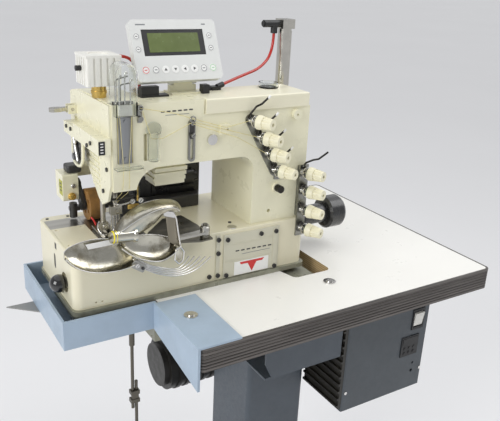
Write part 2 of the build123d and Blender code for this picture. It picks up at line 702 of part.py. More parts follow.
knob_start = 15.0
for number, base in enumerate(posts):
    with BuildPart() as tension_knob:
        strut(along(base, knob_start), along(base, knob_start + 3), knob_radius)
        taper(along(base, knob_start + 3), along(base, knob_start + 11), knob_radius, knob_grip_radius)
        strut(along(base, knob_start + 11), along(base, knob_start + 12), knob_tip_radius)
        taper(along(base, knob_start + 12), along(base, knob_start + 28), knob_grip_radius, knob_tip_radius)
        strut(along(base, knob_start - 1), along(base, knob_start + 29), 3 + fit, mode=Mode.SUBTRACT)
        grip = Plane(origin=along(base, knob_start + 12), z_dir=(lean_x, lean_y, 0))
        with Locations(grip.location):
            with PolarLocations(knob_grip_radius - 0.4, 12):
                Cylinder(1.4, 17, align=(Align.CENTER, Align.CENTER, Align.MIN), mode=Mode.SUBTRACT)
    label = "tension_knob_" + str(number + 1)
    tension_knob.part.label = label
    export_step(tension_knob.part, "parts/" + label + ".step")

with BuildPart() as threads:
    wire([(-36, -100.5, 1062), (-81.5, -100.5, 1054), (-139, -97.5, 1072), (-171, -97.5, 1083),
          (-224.5, -96.5, 1094)], 0.5, 3)
    wire([(-19, -99.5, 1032), (-139, -97.5, 1067), (-190, -98, 1046), (-208, -98, 1047),
          (-222, -98, 1090)], 0.5, 3)
    wire([(-2, -100.5, 1003), (-60, -100.5, 1036), (-139, -99.6, 1064)], 0.5, 3)
threads.part.label = "threads"
export_step(threads.part, "parts/threads.step")

# ---------------------------------------------------------------- display on the arm
display_tilt = 24.0
tilt_s = sin(radians(display_tilt))
tilt_c = cos(radians(display_tilt))
display_face = Plane(origin=(-138, -58, 1124), x_dir=(1, 0, 0), z_dir=(0, -tilt_c, tilt_s))
hinge_y = -33.0
hinge_z = 1120.0

with BuildPart() as display_stem:
    block(-152, -102, -50, -18, cover_top, 1103)
    block(-150, -104, -37, -29, 1103, 1113)
    block(-143, -111, -37, -29, 1113, hinge_z)
    rod_x(-143, -111, hinge_y, hinge_z, 6)
    rod_x(-144, -110, hinge_y, hinge_z, 3 + fit, mode=Mode.SUBTRACT)
display_stem.part.label = "display_stem"
export_step(display_stem.part, "parts/display_stem.step")

with BuildPart() as display_housing:
    with BuildSketch(display_face):
        with Locations((0, 48)):
            RectangleRounded(146, 96, 7)
    extrude(amount=-14)
    with BuildSketch(display_face):
        with Locations((-3, 60)):
            Rectangle(105, 41)
    extrude(amount=-3, mode=Mode.SUBTRACT)
    for x0, x1 in ((-151, -143.5), (-110.5, -103)):
        with BuildSketch(Plane.YZ.offset(x0)):
            with Locations((hinge_y, hinge_z)):
                Circle(6)
            with BuildLine():
                Polyline((hinge_y - 6, hinge_z), (hinge_y + 6, hinge_z), (hinge_y + 11, hinge_z + 24),
                         (hinge_y - 4, hinge_z + 24), close=True)
            make_face()
        extrude(amount=x1 - x0)
    rod_x(-150, -104, hinge_y, hinge_z, 3)
display_housing.part.label = "display_housing"
export_step(display_housing.part, "parts/display_housing.step")

with BuildPart() as display_screen:
    with BuildSketch(display_face.offset(-3)):
        with Locations((-3, 60)):
            Rectangle(104.4, 40.4)
    extrude(amount=2.2)
display_screen.part.label = "display_screen"
export_step(display_screen.part, "parts/display_screen.step")

with BuildPart() as display_keys:
    with BuildSketch(display_face):
        with Locations(*[(-58 + 16.4 * i, 18) for i in range(8)]):
            Circle(6)
        with Locations((-64.5, 70), (-64.5, 50), (59, 70), (59, 50)):
            Circle(4.8)
    extrude(amount=0.7)
display_keys.part.label = "display_keys"
export_step(display_keys.part, "parts/display_keys.step")

# ---------------------------------------------------------------- air parts
post_x = 91.0
post_y = 4.0
with BuildPart() as rear_cylinder:
    block(72, 104, -9, 18, casting_top, 1082)
    block(87.2, 104, -9, 18, 1050, casting_top)
    rod_z(1082, 1194, post_x, post_y, 12)
    rod_z(1086, 1190, post_x + 6, post_y - 8, 3.2)
    block(post_x - 12.5, post_x + 12.5, post_y - 12.5, post_y + 12.5, 1194, 1210)
rear_cylinder.part.label = "rear_cylinder"
export_step(rear_cylinder.part, "parts/rear_cylinder.step")

hose_1 = [(68, 4, 1186), (68, 4, 1154), (37, -9, 1129), (-8, -19, 1119), (-48, -26, 1108)]
hose_2 = [(-233, -14, 1158), (-214, -14, 1158), (-198, -13, 1146), (-191, -13, 1127),
          (-191, -13, 1106)]


def beyond(points, length):
    """The point a length past the last control point, in line with the last run."""
    last = Vector(*points[-1])
    way = (last - Vector(*points[-2])).normalized()
    return tuple(last + way * length)


with BuildPart() as air_fittings:
    rod_x(46, post_x - 12.5, post_y, 1202, 6.2)
    rod_z(1186, 1202, 68, post_y, 6)
    rod_x(44, 46, post_y, 1202, 4.5)
    rod_x(-237, -233, -14, 1158, 4.5)
    rod_x(-298, -290, -32, 1145, 4)
    strut(hose_1[-1], beyond(hose_1, 13), 4.6)
    block(-72, -56, -34, -20, cover_top, 1106)
    block(-90, -56, -32, -22, cover_top, 1102)
    block(-199, -183, -21, -12.2, cover_top, 1106)
    block(-199, -183, -12.2, -6, 1101, 1106)
    block(-206, -160, -56, -40, cover_top, 1103)
    block(-205, -176, -54, -42, 1103, 1116)
    block(-100, -88, -54, -42, cover_top, 1114)
air_fittings.part.label = "air_fittings"
export_step(air_fittings.part, "parts/air_fittings.step")


def hose_bends(points):
    """Bend radius at each inner control point: 0.45 of the shorter run over tan of half the turn."""
    radii = []
    for a, b, c in zip(points[:-2], points[1:-1], points[2:]):
        first = Vector(*b) - Vector(*a)
        second = Vector(*c) - Vector(*b)
        turn = radians(first.get_angle(second))
        radii.append(0.45 * min(first.length, second.length) / tan(turn / 2))
    return radii


print("hose 1 bend radii", [round(r, 1) for r in hose_bends(hose_1)])
print("hose 2 bend radii", [round(r, 1) for r in hose_bends(hose_2)])

with BuildPart() as hose_long:
    with BuildLine() as hose_1_path:
        FilletPolyline(*hose_1, radius=hose_bends(hose_1))
    with BuildSketch(Plane(origin=hose_1[0], z_dir=Vector(*hose_1[1]) - Vector(*hose_1[0]))):
        Circle(hose_radius)
    sweep(path=hose_1_path.line)
hose_long.part.label = "hose_long"
export_step(hose_long.part, "parts/hose_long.step")

with BuildPart() as hose_short:
    with BuildLine() as hose_2_path:
        FilletPolyline(*hose_2, radius=hose_bends(hose_2))
    with BuildSketch(Plane(origin=hose_2[0], z_dir=Vector(*hose_2[1]) - Vector(*hose_2[0]))):
        Circle(hose_radius)
    sweep(path=hose_2_path.line)
hose_short.part.label = "hose_short"
export_step(hose_short.part, "parts/hose_short.step")

with BuildPart() as lift_cylinder:
    with BuildSketch(Plane.XY.offset(1121)):
        with Locations((-263.5, -32)):
            RectangleRounded(53, 52, 3)
            for side in (-1, 1):
                for k in (-15, -5, 5, 15):
                    with Locations((k, 26 * side)):
                        Rectangle(3, 4, mode=Mode.SUBTRACT)
                    with Locations((26.5 * side, k)):
                        Rectangle(4, 3, mode=Mode.SUBTRACT)
    extrude(amount=40)
    block(-290, -237, -58, -6, 1161, 1165)
    rod_z(1163.5, 1166, -263.5, -32, 16, mode=Mode.SUBTRACT)
    rod_z(1120, 1150, bar_x, bar_y, 5, mode=Mode.SUBTRACT)
lift_cylinder.part.label = "lift_cylinder"
export_step(lift_cylinder.part, "parts/lift_cylinder.step")

with BuildPart() as lift_coupler:
    rod_z(cover_top, 1121, bar_x, bar_y, 11)
    rod_z(1106, 1110, bar_x, bar_y, 12)
    rod_z(cover_top - 1, 1122, bar_x, bar_y, 4 + fit, mode=Mode.SUBTRACT)
lift_coupler.part.label = "lift_coupler"
export_step(lift_coupler.part, "parts/lift_coupler.step")

# ---------------------------------------------------------------- sewing parts
with BuildPart() as presser_bar:
    rod_z(886, 1138, bar_x, bar_y, 4)
    block(-268, -256, -33, -21, 886, 898)
    with BuildSketch(Plane.XY.offset(877)):
        with BuildLine():
            Polyline((-271, -40), (-266, -46), (-258, -40), (-253, 2), (-271, 2), close=True)
        make_face()
    extrude(amount=4)
    block(-266, -258, -33, -21, 881, 887)
    block(-254.5, -251, -38, 2, 877, 889)
    block(-264, -251, -33, -26, 886, 889)
presser_bar.part.label = "presser_bar"
export_step(presser_bar.part, "parts/presser_bar.step")

with BuildPart() as needle_bar:
    rod_z(922, 1040, needle_x, needle_y, 3.6)
    block(-257, -239, -51, -41, 916, 930)
    for x in (-255, -250.7, -246.3, -242):
        rod_z(894, 918, x, needle_y, 0.9)
        rod_z(890, 894, x, needle_y, 0.6)
    rod_y(-55, -51, needle_x, 923, 2.6)
needle_bar.part.label = "needle_bar"
export_step(needle_bar.part, "parts/needle_bar.step")

# ---------------------------------------------------------------- tape puller behind the foot
swing_y = 70.0
swing_z = 935.0
roller_y = 45.0
roller_z = 904.0
with BuildPart() as puller_bracket:
    block(-302, -276, 50, 90, 912, 958)
    fillet(puller_bracket.edges().filter_by(Axis.X), 3)
    block(-276, -204, 80, 94, 944, 961.5)
    rod_x(-303, -275, swing_y, swing_z, 4 + fit, mode=Mode.SUBTRACT)
    for i in range(3):
        block(-188, -132, -66 + 3 * i, -20, 982 - 9 * i, 988 - 9 * i)
    block(-186, -134, -60, -22, 958, 1000)
puller_bracket.part.label = "puller_bracket"
export_step(puller_bracket.part, "parts/puller_bracket.step")

with BuildPart() as puller_arm:
    rod_x(-300, -266, swing_y, swing_z, 4)
    with BuildSketch(Plane.YZ.offset(-275.3)):
        with Locations((swing_y, swing_z)):
            Circle(9)
        with Locations((roller_y, roller_z)):
            Circle(9)
        make_hull()
    extrude(amount=7)
    rod_x(-268.3, -239, roller_y, roller_z, 4)
    rod_z(880, 905, -284, 58, 6.5)
    block(-284, -274, 52, 62, 892, 900)
    rod_x(-291, -284, 58, 896, 4)
puller_arm.part.label = "puller_arm"
export_step(puller_arm.part, "parts/puller_arm.step")

with BuildPart() as puller_roller:
    rod_x(-266, -241, roller_y, roller_z, 27)
    rod_x(-267, -240, roller_y, roller_z, 4 + fit, mode=Mode.SUBTRACT)
    for i in range(5):
        a = radians(72 * i)
        rod_x(-267, -263, roller_y + 15 * cos(a), roller_z + 15 * sin(a), 3.5, mode=Mode.SUBTRACT)
puller_roller.part.label = "puller_roller"
export_step(puller_roller.part, "parts/puller_roller.step")

with BuildPart() as puller_drive:
    with BuildSketch(Plane.XZ.offset(-60)):
        with BuildLine():
            Polyline((-204, 930), (-204, 892), (-70, 892), (-70, bed_top), (-44, bed_top), (-44, 958),
                     (-58, 972), (-168, 972))
            RadiusArc((-168, 972), (-204, 930), -42)
        make_face()
    extrude(amount=-26)
    for x in (-190, -165, -140):
        block(x, x + 8, 57, 60, 900, 950)
    rod_x(-128, -60, 57, 925, 15)
    rod_x(-60, -52, 57, 925, 9)
    rod_x(-132, -128, 57, 925, 18)
    rod_y(54, 60, -95, 956, 6)
    wire([(-84, 66, 972), (-84, 66, 1030), (-84, -9, 1030)], 2.5, 14)
puller_drive.part.label = "puller_drive"
export_step(puller_drive.part, "parts/puller_drive.step")

# ---------------------------------------------------------------- tape folder
fold_x = -122.0
fold_y = -113.0
with BuildPart() as folder_base:
    with BuildSketch(Plane.XY.offset(bed_top)):
        with BuildLine():
            Polyline((-198, -57), (-172, -112), (-134, -124), (-112, -122), (-108, -60), (-114, -8),
                     (-150, -10), close=True)
        make_face()
    extrude(amount=2.5)
    rod_z(878.5, 884, fold_x, fold_y, 8)
    rod_z(884, 902, fold_x, fold_y, 4)
    for x, y in ((-130, -40), (-150, -60)):
        rod_z(878.5, 881, x, y, 4)
folder_base.part.label = "folder_base"
export_step(folder_base.part, "parts/folder_base.step")

with BuildPart() as folder:
    with BuildSketch(Plane.YZ.offset(-358)):
        with Locations((-112, 880)):
            Circle(34)
            Circle(32.6, mode=Mode.SUBTRACT)
        with Locations((-85, 880)):
            Rectangle(70, 90, mode=Mode.SUBTRACT)
    extrude(amount=125)
    with BuildSketch(Plane.XZ.offset(100)):
        with Locations((-296, 880)):
            Ellipse(62, 24)
    extrude(amount=70, mode=Mode.INTERSECT)
    block(-254, -226, -147.5, -143.5, 870, 890)
    with BuildSketch(Plane.XZ.offset(146)):
        with Locations((-196, 868)):
            Ellipse(40, 26)
            Ellipse(36, 22, mode=Mode.SUBTRACT)
    extrude(amount=-24)
    with BuildSketch(Plane.XZ.offset(124)):
        with Locations((-196, 868)):
            Ellipse(39, 25)
    extrude(amount=-1.6)
    with BuildSketch(Plane.XZ.offset(125)):
        with BuildLine():
            Polyline((-234, 862), (-232, 900), (-214, 938), (-198, 956), (-180, 948), (-169, 938),
                     (-173, 930), (-183, 939), (-198, 944), (-210, 930), (-224, 900), (-224, 866),
                     close=True)
        make_face()
    extrude(amount=-22)
    block(-184, -168, -128, -126.2, 872, 941)
    block(-190, fold_x, -127, -119, 886, 892)
    rod_z(884.5, 900, fold_x, fold_y, 8)
    rod_z(884, 903, fold_x, fold_y, 4 + fit, mode=Mode.SUBTRACT)
    ends = ((-150, -130, 831), (-137, -128, 835), (-125, -125, 842), (-115, -122, 851))
    starts = ((-180, -134, 845), (-173, -134, 848), (-167, -134, 852), (-161, -134, 858))
    for p, q in zip(starts, ends):
        strut(p, q, 1.2)
    bent_wire([(-188, -136, 844), (-170, -135, 829), *ends, (-160, -132, 872)], 1.6)
folder.part.label = "folder"
export_step(folder.part, "parts/folder.step")
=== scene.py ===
from math import cos, pi, radians, sin

import bmesh
import bpy
from mathutils import Matrix, Vector


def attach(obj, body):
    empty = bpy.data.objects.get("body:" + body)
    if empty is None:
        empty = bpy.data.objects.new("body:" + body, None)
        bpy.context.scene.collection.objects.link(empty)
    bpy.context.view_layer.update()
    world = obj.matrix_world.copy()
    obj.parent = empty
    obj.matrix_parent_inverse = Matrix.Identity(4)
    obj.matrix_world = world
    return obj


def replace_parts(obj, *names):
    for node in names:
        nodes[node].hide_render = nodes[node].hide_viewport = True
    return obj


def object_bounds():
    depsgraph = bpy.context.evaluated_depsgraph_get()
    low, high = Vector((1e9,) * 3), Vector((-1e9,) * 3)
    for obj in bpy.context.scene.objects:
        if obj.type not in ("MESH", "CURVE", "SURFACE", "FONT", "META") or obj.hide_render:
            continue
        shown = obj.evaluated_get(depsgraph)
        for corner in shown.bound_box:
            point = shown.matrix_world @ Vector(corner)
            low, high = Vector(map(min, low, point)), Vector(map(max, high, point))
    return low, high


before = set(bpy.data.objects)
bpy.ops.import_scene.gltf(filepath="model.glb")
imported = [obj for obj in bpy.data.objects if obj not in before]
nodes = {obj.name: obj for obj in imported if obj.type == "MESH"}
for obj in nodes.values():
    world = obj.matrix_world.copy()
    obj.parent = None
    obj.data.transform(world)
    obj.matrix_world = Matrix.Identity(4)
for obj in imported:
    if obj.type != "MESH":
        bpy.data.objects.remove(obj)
cad_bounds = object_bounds()
scene = bpy.context.scene
MM = 0.001
X, Y, Z = Vector((1, 0, 0)), Vector((0, 1, 0)), Vector((0, 0, 1))
FRONT = -Y


# ---------------------------------------------------------------- camera
def make_camera():
    data = bpy.data.cameras.new("camera")
    data.lens = 47.94
    data.sensor_width = 36.0
    obj = bpy.data.objects.new("camera", data)
    scene.collection.objects.link(obj)
    right = Vector((0.85156391, -0.52216711, 0.04669484))
    down = Vector((-0.14669177, -0.32284267, -0.93501558))
    ahead = Vector((0.50330947, 0.78937578, -0.35151879))
    turn = Matrix((right, -down, -ahead)).transposed().to_4x4()
    obj.matrix_world = Matrix.Translation((-0.5982, -0.9924, 1.3030)) @ turn
    scene.camera = obj


make_camera()


# ---------------------------------------------------------------- material kit
class Surface:
    """A Principled material whose colour, gloss and relief come from procedural nodes."""

    def __init__(self, name, colour, rough=0.4, metal=0.0, coat=0.0):
        self.mat = bpy.data.materials.new(name)
        self.mat.use_nodes = True
        self.tree = self.mat.node_tree
        self.bsdf = self.tree.nodes["Principled BSDF"]
        self.colour = (*colour, 1.0)
        self.bsdf.inputs["Base Color"].default_value = self.colour
        self.bsdf.inputs["Roughness"].default_value = rough
        self.bsdf.inputs["Metallic"].default_value = metal
        self.bsdf.inputs["Coat Weight"].default_value = coat
        self.bsdf.inputs["Coat Roughness"].default_value = 0.12
        self.place = self.tree.nodes.new("ShaderNodeTexCoord").outputs["Object"]
        self.out = None

    def node(self, kind, **values):
        made = self.tree.nodes.new(kind)
        for key, value in values.items():
            setattr(made, key, value)
        return made

    def link(self, a, b):
        self.tree.links.new(a, b)

    def noise(self, scale, detail=3.0, stretch=(1, 1, 1), rough=0.55):
        mapping = self.node("ShaderNodeMapping")
        mapping.inputs["Scale"].default_value = stretch
        self.link(self.place, mapping.inputs["Vector"])
        made = self.node("ShaderNodeTexNoise")
        made.inputs["Scale"].default_value = scale
        made.inputs["Detail"].default_value = detail
        made.inputs["Roughness"].default_value = rough
        self.link(mapping.outputs["Vector"], made.inputs["Vector"])
        return made.outputs["Fac"]

    def span(self, value, low, high, to_low, to_high):
        made = self.node("ShaderNodeMapRange")
        made.inputs["From Min"].default_value = low
        made.inputs["From Max"].default_value = high
        made.inputs["To Min"].default_value = to_low
        made.inputs["To Max"].default_value = to_high
        self.link(value, made.inputs["Value"])
        return made.outputs["Result"]

    def mix(self, factor, a, b, blend="MIX"):
        made = self.node("ShaderNodeMix", data_type="RGBA", blend_type=blend)
        for socket, value in ((made.inputs[0], factor), (made.inputs[6], a), (made.inputs[7], b)):
            if isinstance(value, (int, float)):
                socket.default_value = value
            elif isinstance(value, tuple):
                socket.default_value = value if len(value) == 4 else (*value, 1.0)
            else:
                self.link(value, socket)
        return made.outputs[2]

    def colour_to(self, socket):
        self.link(socket, self.bsdf.inputs["Base Color"])
        self.out = socket
        return self

    def mottled(self, scale=18.0, spread=0.05, stretch=(1, 1, 1), detail=4.0, tint=None):
        dark = tuple(c * (1 - spread) for c in self.colour[:3])
        light = tint or tuple(min(1.0, c * (1 + spread)) for c in self.colour[:3])
        factor = self.span(self.noise(scale, detail, stretch), 0.32, 0.68, 0.0, 1.0)
        return self.colour_to(self.mix(factor, dark, light))

    def worn(self, low, high, scale=60.0, stretch=(1, 1, 1)):
        factor = self.span(self.noise(scale, 4.0, stretch), 0.3, 0.7, low, high)
        self.link(factor, self.bsdf.inputs["Roughness"])
        return self

    def relief(self, height, scale, stretch=(1, 1, 1), detail=2.0, strength=1.0):
        bump = self.node("ShaderNodeBump")
        bump.inputs["Distance"].default_value = height
        bump.inputs["Strength"].default_value = strength
        self.link(self.noise(scale, detail, stretch), bump.inputs["Height"])
        self.link(bump.outputs["Normal"], self.bsdf.inputs["Normal"])
        return self

    def axis(self, name, source=None):
        split = self.node("ShaderNodeSeparateXYZ")
        self.link(source or self.place, split.inputs["Vector"])
        return split.outputs[name]

    def normal_axis(self, name):
        return self.axis(name, self.node("ShaderNodeNewGeometry").outputs["Normal"])

    def maths(self, operation, a, b):
        made = self.node("ShaderNodeMath", operation=operation)
        for socket, value in zip(made.inputs, (a, b)):
            if isinstance(value, (int, float)):
                socket.default_value = value
            else:
                self.link(value, socket)
        return made.outputs[0]

    def above(self, value, limit):
        return self.maths("GREATER_THAN", value, limit)

    def grime(self, colour, scale, low, high, amount=0.5):
        """Soft stains in hollows of a coarse noise."""
        factor = self.span(self.noise(scale, 6.0, rough=0.62), low, high, 0.0, amount)
        return self.colour_to(self.mix(factor, self.out or self.colour, colour))


def enamel(name, colour, rough=(0.24, 0.36), coat=0.35):
    made = Surface(name, colour, 0.3, coat=coat)
    made.mottled(5.0, 0.018).worn(*rough, scale=40.0).relief(0.00008, 260.0)
    return made.grime((colour[0] * 0.86, colour[1] * 0.84, colour[2] * 0.72), 6.0, 0.58, 0.8, 0.3)


def powder(name, colour):
    made = Surface(name, colour, 0.42, coat=0.1)
    return made.mottled(22.0, 0.06).worn(0.36, 0.5, 120.0).relief(0.00018, 900.0)


def brushed(name, colour, stretch, rough=(0.22, 0.4), spread=0.12):
    made = Surface(name, colour, 0.3, metal=1.0)
    made.mottled(60.0, spread, stretch).worn(*rough, scale=90.0, stretch=stretch)
    return made.relief(0.00004, 500.0, stretch)


def plastic(name, colour, rough=0.4, spread=0.04, coat=0.0):
    made = Surface(name, colour, rough, coat=coat)
    return made.mottled(45.0, spread).worn(rough - 0.06, rough + 0.08, 150.0).relief(0.00006, 1400.0)


def chrome(name, colour=(0.72, 0.71, 0.69), rough=0.12):
    made = Surface(name, colour, rough, metal=1.0)
    return made.mottled(70.0, 0.06).worn(rough - 0.05, rough + 0.1, 110.0).relief(0.00003, 350.0)


CREAM = (0.83, 0.80, 0.60)
HOSE_RED = (0.52, 0.022, 0.012)
HOOD_TOP = 0.9723        # the puller hood ends here and its pipe goes on
TRAY_LEFT = -0.3612      # left of this only the bare plate under the tray
FINS_RIGHT = 0.2         # between the fins and the keypad of the control box
LOWER_GROUP_X = 0.066    # the lower four tensions lie right of this
LOWER_GROUP_STEP = 0.0085
PLATE_FACE = 0.0957      # front of the upper tension plate, as -Y
cream = enamel("cream_enamel", CREAM).mat
# Darker copy of the cream enamel for the bed casting and bed covers: painted shade on the lower bed.
cream_bed_painted_shade = enamel("cream_enamel_bed_painted_shade", (0.78, 0.735, 0.555), (0.28, 0.4)).mat
cover_cream = enamel("cream_cover", (0.81, 0.775, 0.60), (0.3, 0.42), 0.2).mat
white_paint = enamel("white_paint", (0.83, 0.82, 0.76), (0.3, 0.42), 0.25).mat
stand_blue = powder("stand_blue", (0.064, 0.079, 0.097)).mat
box_blue = powder("box_blue", (0.056, 0.067, 0.078)).mat
black_alu = Surface("black_anodised", (0.014, 0.013, 0.011), 0.45)
black_alu = black_alu.mottled(30.0, 0.25).worn(0.3, 0.5).relief(0.0001, 500.0).mat
black_gloss = Surface("black_gloss", (0.008, 0.008, 0.009), 0.08, coat=0.8)
black_gloss = black_gloss.mottled(60.0, 0.3).worn(0.05, 0.12, 80.0).relief(0.00002, 300.0).mat
black_matt = plastic("black_moulded", (0.018, 0.018, 0.019), 0.42, 0.2).mat
rubber = plastic("belt_rubber", (0.012, 0.012, 0.012), 0.65, 0.25).mat
bright = chrome("bright_plate").mat
polished = chrome("polished_bar", (0.6, 0.58, 0.53), 0.16).mat
steel_x = brushed("ground_steel", (0.42, 0.41, 0.38), (0.06, 1, 1)).mat
steel_z = brushed("bar_steel", (0.5, 0.48, 0.43), (1, 1, 0.08)).mat
plate_z = brushed("take_up_steel", (0.34, 0.35, 0.36), (1, 1, 0.05), (0.32, 0.5)).mat
dark_oxide = plastic("black_oxide", (0.035, 0.034, 0.033), 0.34, 0.3).mat
rod_steel = brushed("rod_steel", (0.13, 0.12, 0.10), (1, 1, 0.1), (0.3, 0.5)).mat
guide_steel = brushed("guide_steel", (0.33, 0.33, 0.31), (1, 1, 0.1), (0.16, 0.34)).mat
brass = chrome("brass", (0.72, 0.5, 0.15), 0.2).mat
knob_cream = plastic("knob_cream", (0.84, 0.80, 0.60), 0.42, 0.03, 0.1)
knob_cream = knob_cream.grime((0.6, 0.55, 0.33), 90.0, 0.55, 0.8, 0.4).mat
felt_green = plastic("felt_green", (0.10, 0.24, 0.09), 0.85, 0.3).mat
red_hose = plastic("red_hose", HOSE_RED, 0.26, 0.12, 0.5).mat
cotton = Surface("cotton", (0.70, 0.62, 0.30), 0.75).mottled(900.0, 0.2).relief(0.0001, 4000.0).mat
housing_grey = plastic("housing_grey", (0.72, 0.73, 0.71), 0.36, 0.02, 0.2).mat
pad_rubber = plastic("pad_rubber", (0.03, 0.03, 0.03), 0.6, 0.2).mat
plug_white = plastic("plug_white", (0.78, 0.77, 0.72), 0.4).mat
red_paint = plastic("red_paint", (0.62, 0.03, 0.03), 0.35).mat
yellow_paint = plastic("yellow_paint", (0.82, 0.68, 0.02), 0.5, 0.15).mat
label_white = plastic("label_white", (0.86, 0.86, 0.84), 0.5, 0.02).mat
# Dark grey print; the same dark material makes the screw slots, where it is painted shade in the slots.
ink_and_slot_painted_shade = plastic("ink_grey_and_slot_painted_shade", (0.07, 0.07, 0.07), 0.5, 0.1).mat


def make_laminate():
    """White laminate on top, plywood layers on the cut edges."""
    s = Surface("laminate_on_plywood", (0.82, 0.81, 0.77), 0.36, coat=0.1)
    s.mottled(6.0, 0.015)
    top = s.out
    wave = s.node("ShaderNodeTexWave", bands_direction="Z")
    wave.inputs["Scale"].default_value = 75.0
    wave.inputs["Distortion"].default_value = 1.2
    wave.inputs["Detail"].default_value = 2.0
    s.link(s.place, wave.inputs["Vector"])
    ply = s.mix(wave.outputs["Fac"], (0.42, 0.29, 0.13), (0.70, 0.53, 0.30))
    grain = s.noise(40.0, 5.0, (1, 1, 12))
    ply = s.mix(s.span(grain, 0.3, 0.7, 0.0, 0.35), ply, (0.22, 0.13, 0.06))
    edge = s.above(s.maths("ABSOLUTE", s.normal_axis("Z"), 0.0), 0.5)
    s.colour_to(s.mix(edge, ply, top))
    return s.worn(0.26, 0.4, 30.0).relief(0.00005, 1200.0).mat


def make_band():
    """Dark ribbed extrusion with lighter rubbed ribs."""
    s = Surface("edge_extrusion", (0.085, 0.075, 0.066), 0.45)
    wave = s.node("ShaderNodeTexWave", bands_direction="Z")
    wave.inputs["Scale"].default_value = 62.0
    s.link(s.place, wave.inputs["Vector"])
    line = s.mix(wave.outputs["Fac"], (0.045, 0.04, 0.036), (0.12, 0.105, 0.095))
    rub = s.span(s.noise(9.0, 6.0, (1, 1, 20)), 0.45, 0.75, 0.0, 0.5)
    s.colour_to(s.mix(rub, line, (0.2, 0.18, 0.165)))
    return s.worn(0.35, 0.55, 60.0, (1, 1, 10)).relief(0.0001, 300.0, (0.2, 0.2, 2)).mat


def make_tray():
    """Blue powder coat; the thin plate that sticks out on the left is bare grey."""
    s = powder("tray_powder_coat", (0.35, 0.44, 0.54))
    outside = s.maths("LESS_THAN", s.axis("X"), TRAY_LEFT)
    s.colour_to(s.mix(outside, s.out, (0.25, 0.25, 0.24)))
    return s.mat


def make_casting():
    """Greenish die casting of the pan flange, with oily patches."""
    s = Surface("pan_casting", (0.30, 0.30, 0.235), 0.35, metal=0.35)
    s.mottled(30.0, 0.12).grime((0.10, 0.095, 0.06), 22.0, 0.5, 0.75, 0.6)
    return s.worn(0.22, 0.5, 35.0).relief(0.0003, 420.0).mat


def make_folder_steel():
    """Polished sheet steel with shallow dents and brown heat stains."""
    s = Surface("folder_steel", (0.60, 0.58, 0.50), 0.2, metal=1.0)
    s.mottled(28.0, 0.2, (0.5, 1, 1))
    s.grime((0.16, 0.125, 0.06), 20.0, 0.46, 0.62, 0.8)
    s.worn(0.1, 0.3, 40.0)
    return s.relief(0.012, 15.0, (0.5, 1, 1), 1.0).mat


def make_clear(name, tint=(0.93, 0.95, 0.93), rough=0.06):
    s = Surface(name, tint, rough)
    s.bsdf.inputs["Transmission Weight"].default_value = 1.0
    s.bsdf.inputs["IOR"].default_value = 1.3
    s.mottled(60.0, 0.05)
    return s.worn(rough, rough + 0.08, 120.0).mat


def make_lcd():
    s = Surface("lcd_window", (0.125, 0.165, 0.045), 0.25, coat=0.6)
    s.mottled(30.0, 0.10)
    stripe = s.node("ShaderNodeTexWave", bands_direction="X")
    stripe.inputs["Scale"].default_value = 150.0
    s.link(s.place, stripe.inputs["Vector"])
    s.colour_to(s.mix(s.span(stripe.outputs["Fac"], 0, 1, 0, 0.12), s.out, (0.05, 0.07, 0.015)))
    return s.worn(0.2, 0.3).mat


def make_roller():
    s = Surface("roller_rubber", (0.30, 0.155, 0.045), 0.5)
    s.mottled(50.0, 0.25).grime((0.12, 0.06, 0.02), 30.0, 0.5, 0.75, 0.7)
    return s.worn(0.4, 0.6).relief(0.0003, 300.0).mat


def make_wheel():
    """Black enamel on the handwheel, its sleeve and the head pulley."""
    s = Surface("handwheel_finish", (0.03, 0.03, 0.031), 0.28, coat=0.3)
    s.mottled(30.0, 0.2)
    return s.worn(0.2, 0.34, 50.0, (4, 1, 1)).relief(0.00008, 500.0, (4, 0.3, 0.3)).mat


def make_tension():
    """Bright plates against the casting, black wires in front of them."""
    s = Surface("tension_steel", (0.30, 0.30, 0.28), 0.3, metal=1.0).mottled(40.0, 0.3)
    low = s.maths("MULTIPLY", s.above(s.axis("X"), LOWER_GROUP_X), LOWER_GROUP_STEP)
    wire_side = s.above(s.maths("MULTIPLY", s.maths("ADD", s.axis("Y"), low), -1.0), PLATE_FACE)
    s.colour_to(s.mix(wire_side, s.out, (0.05, 0.047, 0.043)))
    return s.worn(0.2, 0.42).relief(0.0001, 300.0).mat


def make_trim():
    """Anodised fins on the left, moulded keypad and bezel on the right."""
    s = Surface("control_trim", (0.022, 0.02, 0.016), 0.4).mottled(30.0, 0.25)
    s.colour_to(s.mix(s.above(s.axis("X"), FINS_RIGHT), s.out, (0.012, 0.012, 0.013)))
    return s.worn(0.3, 0.5).relief(0.0001, 500.0).mat


def make_drive():
    """Black hood and housing with one red air pipe on top."""
    s = Surface("puller_drive", (0.016, 0.016, 0.017), 0.32, coat=0.2).mottled(30.0, 0.25)
    s.colour_to(s.mix(s.above(s.axis("Z"), HOOD_TOP), s.out, HOSE_RED))
    return s.worn(0.22, 0.4).relief(0.0001, 400.0).mat


